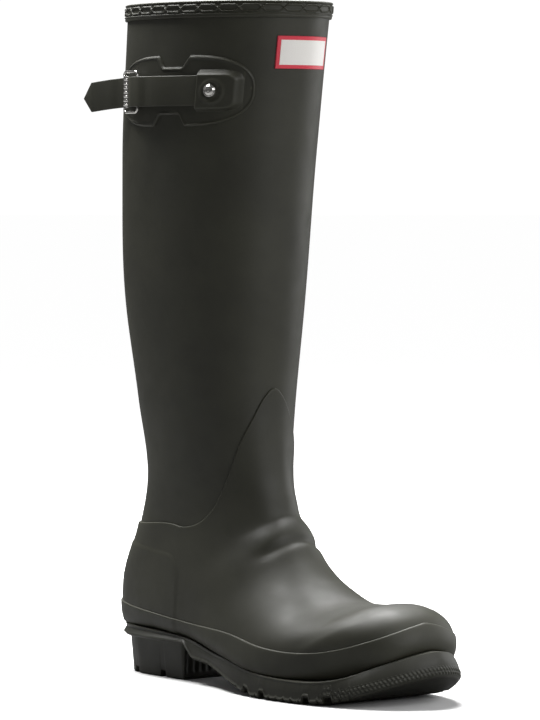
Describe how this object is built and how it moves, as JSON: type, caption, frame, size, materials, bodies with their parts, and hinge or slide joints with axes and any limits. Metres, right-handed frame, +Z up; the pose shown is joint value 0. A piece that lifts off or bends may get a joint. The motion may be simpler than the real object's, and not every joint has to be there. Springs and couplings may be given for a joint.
{
  "type": "rubber rain boot",
  "caption": "Tall pull-on rubber rain boot for the right foot, with a lined leg, layered rubber upper, cleated sole with a low heel, and a side strap with a nickel buckle.",
  "frame": {"origin": "on the ground under the middle of the heel block's underside", "axes": "+Z up the leg, the toe towards -Y, the outer side with the strap towards -X"},
  "size_m": [0.113, 0.2842, 0.416],
  "materials": {
    "upper_rubber": "satin matte, dark olive grey",
    "sole_rubber": "matte, dark olive grey",
    "sponge_rubber": "open cell, dull",
    "lining_cloth": "fine knit",
    "footbed_foam": "knit-faced foam",
    "fibre_board": "pressed fibre",
    "shank_steel": "plain spring steel",
    "nickel": "polished nickel",
    "label_red": "smooth moulded",
    "label_white": "smooth moulded, blank"
  },
  "bodies": {
    "boot": {"outsole": "sole_rubber", "heel_block": "sole_rubber", "heel_core": "sponge_rubber", "shank": "shank_steel", "foot_lining": "lining_cloth", "leg_lining": "lining_cloth", "insole_board": "fibre_board", "footbed": "footbed_foam", "heel_counter": "fibre_board", "toe_puff": "fibre_board", "ankle_stiffener_outer": "sponge_rubber", "ankle_stiffener_inner": "sponge_rubber", "leg_panel": "upper_rubber", "vamp_panel": "upper_rubber", "foxing_band": "upper_rubber", "back_strip": "upper_rubber", "rim_band": "upper_rubber", "label_base": "label_red", "label_face": "label_white", "strap_patch": "upper_rubber", "strap_pocket": "upper_rubber", "strap": "upper_rubber", "stud_cap": "nickel", "stud_post": "nickel", "stud_washer": "nickel", "buckle_loop": "upper_rubber", "loop_rivet": "nickel", "loop_washer": "nickel"},
    "buckle": {"buckle_frame": "nickel"},
    "strap_end": {"strap_tail": "upper_rubber"}
  },
  "joints": [
    {"name": "buckle_tilt", "type": "hinge", "parent": "boot", "child": "buckle", "pos_m": [-0.05461, -0.01903, 0.362], "axis": [0, 0, 1], "range_deg": [0, 25]},
    {"name": "strap_end_flex", "type": "hinge", "parent": "boot", "child": "strap_end", "pos_m": [-0.05192, -0.00403, 0.362], "axis": [0, 0, 1], "range_deg": [-4, 35], "stiffness_Nm_per_rad": 0.02}
  ]
}
